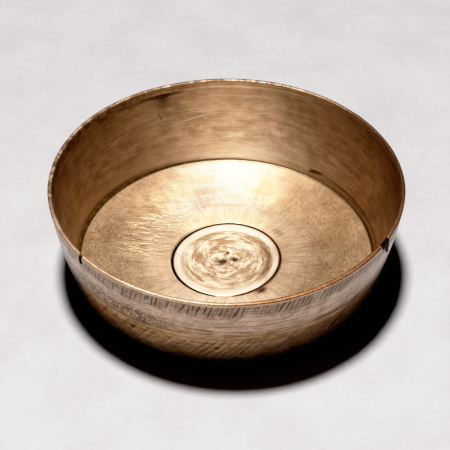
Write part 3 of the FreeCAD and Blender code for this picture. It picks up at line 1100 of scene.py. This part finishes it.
def inner_wall_tone(g):
    """Painted shade makes it brown above; warm tan below, mottled, with painted glints and a painted
    highlight low down, painted shade on the right, and the fold lighter along its crest.
    """
    x, z, broad, blotch = g.x, g.z, g.brush["broad"], g.spots["blotch"]
    tone = g.mix(g.step(broad, 0.32, 0.68), "wall_dark", "wall_light")
    # Painted shade on the right
    tone = g.mix(g.step(x, 10.0, 70.0, 0.0, 0.10), tone, "wall_right_painted_shade")
    mottling = g.add(g.times(g.spots["cloud"], 0.6), g.times(blotch, 0.5))
    tone = g.mix(g.step(mottling, 0.48, 0.68, 0.0, 0.42), tone, "wall_mottling")
    # Painted glints low on the wall
    glint = g.times(g.step(broad, 0.50, 0.68), g.step(z, 40.0, 26.0, 0.0, 0.8))
    tone = g.mix(g.times(glint, g.step(g.spots["grain"], 0.45, 0.7)), tone, "wall_painted_glint")
    # Painted shade towards the top, weaker at the left
    top = g.step(g.add(z, g.swing(blotch, 10.0)), 22.0, 50.0, 0.0, 0.52)
    tone = g.mix(g.times(top, g.step(x, -65.0, 0.0, 0.45, 1.0)), tone, "wall_top")
    # Painted highlight low on the wall, except at the right
    foot = g.times(g.step(z, 10.0, 24.0, 0.72, 0.0), g.until(x, 32.0, 60.0))
    tone = g.mix(foot, tone, "wall_foot_painted_highlight")
    fold = g.times(g.window(z, 9.0, 10.2, 11.4, 12.6), g.step(x, 18.0, 34.0, 0.0, 0.7))
    fold_tone = g.mix(g.step(g.brush["lines"], 0.42, 0.58), "fold_dark", "fold_light")
    tone = g.mix(fold, tone, fold_tone)
    lip = g.times(g.soil, g.step(g.along, -6.6, -4.6), g.step(x, -36.0, 6.0, 0.75, 0.0))
    return g.mix(lip, tone, "lip_soil")


def outer_wall_tone(g):
    """Grey-mauve above and tan below; darker at the foot, partly grime and partly painted shade; painted
    shade on the right and towards both sides.
    """
    x, along = g.x, g.along
    patches = g.step(g.spots["blotch"], 0.35, 0.65)
    upper = g.mix(patches, "outer_grey_dark", "outer_grey_light")
    low = g.mix(g.spots["blotch"], "outer_low_dark", "outer_low_light")
    lower = g.mix(patches, "outer_tan_dark", "outer_tan_light")
    lower = g.mix(g.step(along, 24.0, 38.0), lower, low)
    # Darker foot: partly grime, partly painted shade of the shadow it mirrors
    lower = g.mix(g.step(along, 35.0, 43.0, 0.0, 0.7), lower, "outer_foot_soil_and_shade")
    border = g.add(along, g.swing(g.spots["cloud"], 14.0), g.times(x, -0.05))
    tone = g.mix(g.step(border, 12.0, 25.0), upper, lower)
    # Painted shade on the right, where the wall mirrors more of the cast shadow
    tone = g.mix(g.step(x, -10.0, 75.0, 0.0, 0.25), tone, "outer_right_painted_shade")
    # Painted shade low on both sides, where the wall mirrors the cast shadow; then the same at the far
    # left
    side = g.size(x)
    sides = g.step(g.add(along, g.times(side, 0.8)), 60.0, 92.0, 0.0, 0.95)
    sides = g.times(sides, g.step(along, 6.0, 18.0), g.step(side, 20.0, 50.0))
    tone = g.mix(sides, tone, "outer_sides_painted_shade")
    return g.mix(g.far_left_painted_shade, tone, "outer_sides_painted_shade")


def rim_tone(g):
    """Bright and grainy in front, copper at the front right, dull and soiled behind."""
    x, y, blotch, grain = g.x, g.y, g.spots["blotch"], g.spots["grain"]
    tone = g.mix(g.step(blotch, 0.4, 0.6), "rim_dark", "rim_light")
    front = g.mix(g.step(grain, 0.42, 0.62), "rim_front_dark", "rim_front_light")
    tone = g.mix(g.step(y, -75.0, -30.0, 0.9, 0.0), tone, front)
    copper = g.step(g.add(grain, g.times(blotch, 0.5)), 0.66, 1.0)
    front_right = g.step(g.add(g.times(x, 0.9), g.times(y, -0.5)), 22.0, 55.0, 0.0, 0.92)
    tone = g.mix(front_right, tone, g.mix(copper, "copper_dark", "copper_light"))
    right = g.times(g.step(x, 38.0, 66.0), g.step(y, -38.0, 2.0, 0.50, 0.9))
    tone = g.mix(right, tone, "rim_right")
    back_left = g.step(g.add(y, g.times(x, -0.8)), 30.0, 60.0, 0.0, 0.85)
    return g.mix(g.times(g.soil, back_left), tone, "rim_soil")


def metal_tone(g):
    """The metal's colour in every zone, with the painted shade and highlights of each zone's tone and
    brush streaks in it.
    """
    tone = g.mix(g.heart, floor_tone(g), heart_tone(g))
    tone = g.mix(g.inner, tone, inner_wall_tone(g))
    tone = g.mix(g.outer, tone, outer_wall_tone(g))
    tone = g.mix(g.rim, tone, rim_tone(g))
    tone = g.mix(g.under, tone, "underside")
    weaker_inside = g.add(1.0, g.times(g.add(g.plain_floor, g.inner), -0.50))
    streaks = g.times(g.step(g.brush["lines"], 0.42, 0.72, 0.0, 0.40), weaker_inside)
    return g.mix(streaks, tone, "streaks")


def upper_dash_marks(g):
    """Row of slanted chatter dashes under the rim, outside."""
    wavy_end = g.add(g.along, g.times(g.spots["blotch"], 7.0))
    window = g.times(g.step(g.along, 1.2, 2.6), g.until(wavy_end, 8.5, 13.5))
    turn = g.times(g.turn, DASHES_PER_RADIAN)
    phase = g.add(turn, g.times(g.along, 0.85), g.times(g.brush["dash_shift"], 14.0))
    row = g.step(g.math("SINE", phase), 0.0, 0.95)
    row = g.times(row, g.step(g.brush["upper_dash"], 0.36, 0.56))
    return g.times(row, window, g.outer, g.step(g.x, -62.0, -5.0, 0.70, 1.0))


def lower_dash_marks(g):
    """Longer, more slanted dashes low on the outer wall."""
    window = g.window(g.along, 27.0, 38.0, 43.0, 48.0)
    return g.times(g.step(g.brush["lower_dash"], 0.50, 0.60), window, g.outer)


def lathe_line_marks(g):
    lines = 0.0
    for depth, slope, half in LATHE_LINES:
        gap = g.size(g.add(g.along, -depth, g.times(g.x, -slope)))
        lines = g.add(lines, g.until(gap, 0.2 * half, half))
    return g.times(g.clamp(lines), g.step(g.brush["lines"], 0.38, 0.55), g.outer)


def outer_marks(g, upper, lower):
    """Dashes, tool strokes, level lines, specks and corrosion pits of the outer wall, and painted shade
    under the rim.
    """
    blotch = g.spots["blotch"]
    # Painted shade: a dark band under the rim
    wavy_end = g.add(g.along, g.times(blotch, 6.0))
    rim_shade = g.times(g.step(g.along, 0.8, 2.6), g.until(wavy_end, 8.0, 13.0))
    strokes = g.times(g.step(g.brush["strokes"], 0.50, 0.64), g.window(g.along, 5.0, 9.0, 15.0, 21.0))
    level_lines = g.step(g.brush["level_lines"], 0.47, 0.68)
    specks = g.step(g.spots["speck"], 0.66, 0.74)
    pit_band = g.window(g.add(g.along, g.swing(blotch, 8.0)), 12.5, 16.5, 19.0, 24.0)
    pit_side = g.window(g.degrees, -149.0, -141.0, -118.0, -104.0)
    pits = g.times(g.step(g.spots["fine_pits"], 0.46, 0.55), pit_band, pit_side)
    spread_marks = g.add(g.times(rim_shade, 0.34), g.times(strokes, 0.26), g.times(level_lines, 0.42))
    spread_marks = g.times(g.add(spread_marks, g.times(specks, 0.5), pits), g.outer)
    dashes = g.add(g.times(upper, 0.66), g.times(lower, 0.55))
    return g.add(dashes, spread_marks, g.times(lathe_line_marks(g), 0.70))


def dark_scratch(g):
    """The short steep scratch high on the back wall."""
    past_top = g.add(g.along, DARK_SCRATCH_TOP)
    gap = g.add(g.degrees, -DARK_SCRATCH_ANGLE, g.times(past_top, -DARK_SCRATCH_SLANT))
    line = g.step(g.size(gap), 0.1, 0.42, 0.62, 0.0)
    return g.times(line, g.window(past_top, -4.4, -3.2, 0.0, 1.0), g.inner)


def light_scratches(g):
    """Fine bright scratches: scattered ones, and those of the table on the inner wall."""
    scattered = g.step(g.brush["scratches"], 0.62, 0.74)
    total = g.times(scattered, g.add(g.times(g.inner, 0.5), g.times(g.outer, 0.35)))
    for start, end, start_depth, end_depth, half in LIGHT_SCRATCHES:
        slope = (end_depth - start_depth) / (end - start)
        gap = g.add(g.along, start_depth - start * slope, g.times(g.degrees, slope))
        line = g.step(g.size(gap), 0.0, 2 * half, 0.6, 0.0)
        reach = g.window(g.degrees, start, start + 4.0, end - 3.0, end)
        total = g.add(total, g.times(line, reach, g.inner))
    return total


def set_colour(g, upper, lower):
    """Polish and painted highlight over the metal, then dirt and painted shade over both; gives how dark
    each place is made.
    """
    wear = g.step(g.brush["ring_wear"], 0.35, 0.65, 0.35, 1.0)
    # Shine holds polish and, on the floor, painted highlight
    brightening = g.clamp(g.add(g.times(g.shine, wear, 0.90), light_scratches(g)))
    polished = g.mix(g.floor, "polished_wall", "polished_and_sheen_floor")
    # The dirt field also carries painted shade at the outer foot
    soot = g.times(g.step(g.dirt, 0.05, 0.85), g.add(0.6, g.times(g.spots["grain"], 0.7)))
    dark = g.clamp(g.add(outer_marks(g, upper, lower), soot, dark_scratch(g)))
    tone = g.mix(brightening, metal_tone(g), polished)
    g.set("Base Color", g.mix(dark, tone, "grime_and_shade"))
    return dark


def set_edge_tint(g):
    """Painted shade in the reflections: darkens what the walls mirror where they are seen edge-on."""
    low_outer = g.times(g.outer, g.step(g.along, 14.0, 30.0))
    fold = g.times(g.inner, g.step(g.z, 11.0, 14.0, 0.8, 0.0))
    tint = g.mix(g.far_left_painted_shade, "edge_tint", "far_left_edge_tint")
    g.set("Specular Tint", g.mix(g.add(low_outer, fold), "white", tint))


def set_gloss(g, dark):
    """Roughness, and how far and which way the highlight spreads."""
    glitter = g.step(g.spots["glitter"], 0.46, 0.56)
    radial = g.times(g.swing(g.brush["radial"], 1.1), g.plain_floor)
    crossing = g.clamp(g.add(g.attribute("crossed"), radial))
    near_disc = g.until(g.radius, 30.0, 44.0)
    rough = g.blend(near_disc, g.blend(glitter, 0.37, 0.62), g.blend(glitter, 0.48, 0.60))
    rough = g.blend(g.floor, g.blend(g.rim, g.blend(g.outer, 0.47, 0.25), 0.58), rough)
    rough = g.add(rough, g.swing(g.brush["fine"], 0.25), g.times(dark, 0.12))
    g.set("Roughness", g.clamp(rough))
    # The two ways of brushing cancel out where they are equally strong
    aniso = g.blend(near_disc, g.blend(glitter, 0.74, 0.20), 0.60)
    aniso = g.times(aniso, g.size(g.add(1.0, g.times(crossing, -2.0))))
    aniso = g.blend(g.floor, g.blend(g.rim, g.blend(g.inner, 0.45, 0.90), 0.10), aniso)
    g.set("Anisotropic", g.clamp(aniso))
    # The highlight spreads across the brush marks: up the walls, and outward on the floor
    across = g.turn_z(g.vector(g.ux, g.uy, 0.0), FLOOR_BRUSH_TURN)
    wander = g.times(g.swing(g.brush["wander"], 1.6), g.heart)
    crossed = g.turn_z(g.vector(0.0, 1.0, 0.0), wander)
    lean = g.times(g.step(g.z, 10.0, 46.0, 0.0, 0.035), g.inner)
    upward = g.vector(g.times(g.uy, lean, -1.0), g.times(g.ux, lean), 1.0)
    brush_way = g.mix_vector(g.step(crossing, 0.47, 0.53), across, crossed)
    g.set("Tangent", g.mix_vector(g.floor, upward, brush_way))


def set_relief(g, upper, lower):
    """Fine relief in millimetres: brush lines, spokes, wisps, swirl, grain and dents."""
    lines = g.times(g.brush["lines"], g.blend(g.inner, 0.030, 0.018))
    spoke_ring = g.add(g.step(g.radius, 26.0, 30.0), g.step(g.radius, 36.0, 56.0, 0.0, -0.75))
    spokes = g.times(g.brush["radial"], g.plain_floor, spoke_ring, 0.18)
    dents = g.times(g.spots["dent"], g.plain_floor, 0.25)
    wisps = g.noise(g.vector(g.times(g.x, 0.10), g.times(g.y, 0.36), 0.0), 1.0, 4.0, 0.72, 1.2)
    wisp_place = g.times(g.until(g.x, -34.0, -6.0), g.step(g.y, -10.0, 8.0), g.plain_floor)
    wisps = g.times(wisps, wisp_place, g.until(g.radius, 44.0, 62.0), 0.42)
    waves = g.times(g.brush["broad"], g.inner, g.step(g.z, 14.0, 34.0, 0.30, 0.0))
    swirl = g.times(g.swirl, g.heart, 0.05)
    grain = g.add(g.times(g.brush["fine"], 0.012), g.times(g.spots["grain"], 0.012))
    hollows = g.times(g.add(upper, lower, g.dirt), -0.04)
    height = g.add(lines, spokes, dents, wisps, waves, swirl, grain, hollows)
    g.set("Normal", g.bump(height, 1.0, MM))


def bronze_material():
    """Turned and brushed bronze: patina outside, bright turned floor, copper on the worn rim."""
    g = BronzeGraph()
    upper = upper_dash_marks(g)
    lower = lower_dash_marks(g)
    dark = set_colour(g, upper, lower)
    set_edge_tint(g)
    g.set("Metallic", g.add(1.0, g.times(dark, g.add(g.outer, g.rim), -0.45)))
    set_gloss(g, dark)
    set_relief(g, upper, lower)
    return g.material


def deposit_material(name, light, dark, roughness, relief, gloss, olive):
    """Hardened dirt: mottled, dull, crumbly, and more or less olive low on the back wall."""
    g = Graph(name)
    crumbs = g.noise(g.place, 1.6, 4.0, 0.65)
    patches = g.noise(g.place, 0.35, 2.0, 0.5)
    tone = g.mix(g.step(patches, 0.35, 0.65), dark, light)
    low_back = g.times(g.step(g.y, 8.0, 30.0), g.until(g.z, 9.8, 10.6))
    low_back = g.times(low_back, g.step(g.x, -40.0, 10.0, 0.0, olive))
    g.set("Base Color", g.mix(low_back, tone, "olive"))
    g.set("Roughness", g.add(roughness, g.swing(crumbs, 0.25)))
    g.set("Specular IOR Level", gloss)
    g.set("Normal", g.bump(crumbs, 0.8, relief * MM))
    return g.material


def paper_material():
    """Pale matt paper with a faint cloudiness."""
    g = Graph("table")
    tooth = g.noise(g.place, 0.35, 3.0, 0.6)
    cloud = g.noise(g.place, 0.03, 3.0, 0.55)
    tone = g.add(g.times(tooth, 0.5), g.times(cloud, 0.9))
    g.set("Base Color", g.mix(g.step(tone, 0.45, 0.95), "paper_dark", "paper_light"))
    g.set("Roughness", 0.9)
    g.set("Normal", g.bump(tooth, 1.0, 0.25 * MM))
    return g.material




# ==== Stage, light and camera ====

# Lengths in metres
TABLE_SIZE = 3.0
TABLE_CELLS = 12
KEY_PLACE = (-0.147, 0.067, 2.4)
KEY_AIM = (0.05, -0.45, 0.0)
KEY_SIZE = 0.32
KEY_SPREAD = math.radians(110)
KEY_POWER = 28.5

# Light value, and how bright it is shown
TONE_WHITE = 2.0
TONE_POINTS = (
    (0, 0), (0.012, 0.001), (0.03, 0.015), (0.07, 0.060), (0.15, 0.155),
    (0.5, 0.53), (0.8, 0.80), (1.0, 0.90), (1.4, 0.97), (2.0, 1.0),
)

# The camera's reach and aim are in rim radii, its lens in millimetres
CAMERA_ELEVATION = math.radians(39.2)
CAMERA_REACH = 8.057
CAMERA_LENS = 114.94
AIM_DROP = 0.329
AIM_SIDE = -0.0077


def make_table():
    steps = np.linspace(-TABLE_SIZE / 2, TABLE_SIZE / 2, TABLE_CELLS + 1)
    points = np.array([(px, py, 0.0) for py in steps for px in steps]) / MM
    wide = TABLE_CELLS + 1
    corners = [i * wide + j for i in range(TABLE_CELLS) for j in range(TABLE_CELLS)]
    faces = [(a, a + 1, a + wide + 1, a + wide) for a in corners]
    table = new_object("table", points, faces, {})
    table.data.materials.append(paper_material())


def make_light():
    """One round softbox overhead in a studio with no other light."""
    light = bpy.data.lights.new("overhead_softbox", "AREA")
    light.shape = "DISK"
    light.size = KEY_SIZE
    light.spread = KEY_SPREAD
    light.energy = KEY_POWER
    lamp = bpy.data.objects.new("overhead_softbox", light)
    lamp.location = KEY_PLACE
    aim = Vector(KEY_AIM) - lamp.location
    lamp.rotation_euler = aim.to_track_quat("-Z", "Y").to_euler()
    bpy.context.scene.collection.objects.link(lamp)
    world = bpy.data.worlds.new("dark_studio")
    world.use_nodes = True
    world.node_tree.nodes["Background"].inputs["Strength"].default_value = 0.0
    bpy.context.scene.world = world


def make_camera():
    data = bpy.data.cameras.new("camera")
    data.lens = CAMERA_LENS
    camera = bpy.data.objects.new("camera", data)
    radius = RIM_RADIUS * MM
    rim = Vector((0, 0, BOWL_HEIGHT * MM))
    reach = CAMERA_REACH * radius
    place = Vector((0, -math.cos(CAMERA_ELEVATION), math.sin(CAMERA_ELEVATION))) * reach
    camera.location = rim + place
    target = rim + Vector((AIM_SIDE * radius, 0, -AIM_DROP * radius))
    camera.rotation_euler = (target - camera.location).to_track_quat("-Z", "Y").to_euler()
    bpy.context.scene.collection.objects.link(camera)
    bpy.context.scene.camera = camera


def set_tone_curve():
    """Photographic curve: deep blacks and a soft shoulder for the bright metal."""
    view = bpy.context.scene.view_settings
    view.view_transform = "Standard"
    view.use_curve_mapping = True
    mapping = view.curve_mapping
    mapping.white_level = (TONE_WHITE, TONE_WHITE, TONE_WHITE)
    curve = mapping.curves[3]
    while len(curve.points) > 2:
        curve.points.remove(curve.points[1])
    for light, shown in TONE_POINTS[1:-1]:
        curve.points.new(light / TONE_WHITE, shown)
    for end in (0, -1):
        light, shown = TONE_POINTS[end]
        curve.points[end].location = (light / TONE_WHITE, shown)
    for point in curve.points:
        point.handle_type = "VECTOR"
    mapping.update()


# ==== Assembly ====


def place_piece(piece, node, slot_name):
    piece.data.materials.clear()
    piece.data.materials.append(materials[slot_name])
    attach(piece, "root")
    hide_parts(node)


materials = {
    "bronze": bronze_material(),
    "black_deposit": deposit_material(
        "black_deposit", "soot_light", "soot_dark",
        roughness=0.50, relief=0.12, gloss=0.02, olive=0.0),
    "brown_deposit": deposit_material(
        "brown_deposit", "earth_light", "earth_dark",
        roughness=0.6, relief=0.15, gloss=0.12, olive=0.85),
}

place_piece(make_bowl(), "bowl_body", "bronze")
place_piece(make_circle_fill(), "centre_circle_fill", "black_deposit")
place_piece(make_crease_fill(), "foot_crease_fill", "brown_deposit")
place_piece(make_pit_fill(), "fold_pit_fill", "brown_deposit")
place_piece(make_centre_mark_fill(), "centre_mark_fill", "brown_deposit")
place_piece(make_left_nick_fill(), "left_nick_fill", "black_deposit")
place_piece(make_right_nick_fill(), "right_nick_fill", "black_deposit")

make_table()
make_light()
make_camera()
set_tone_curve()
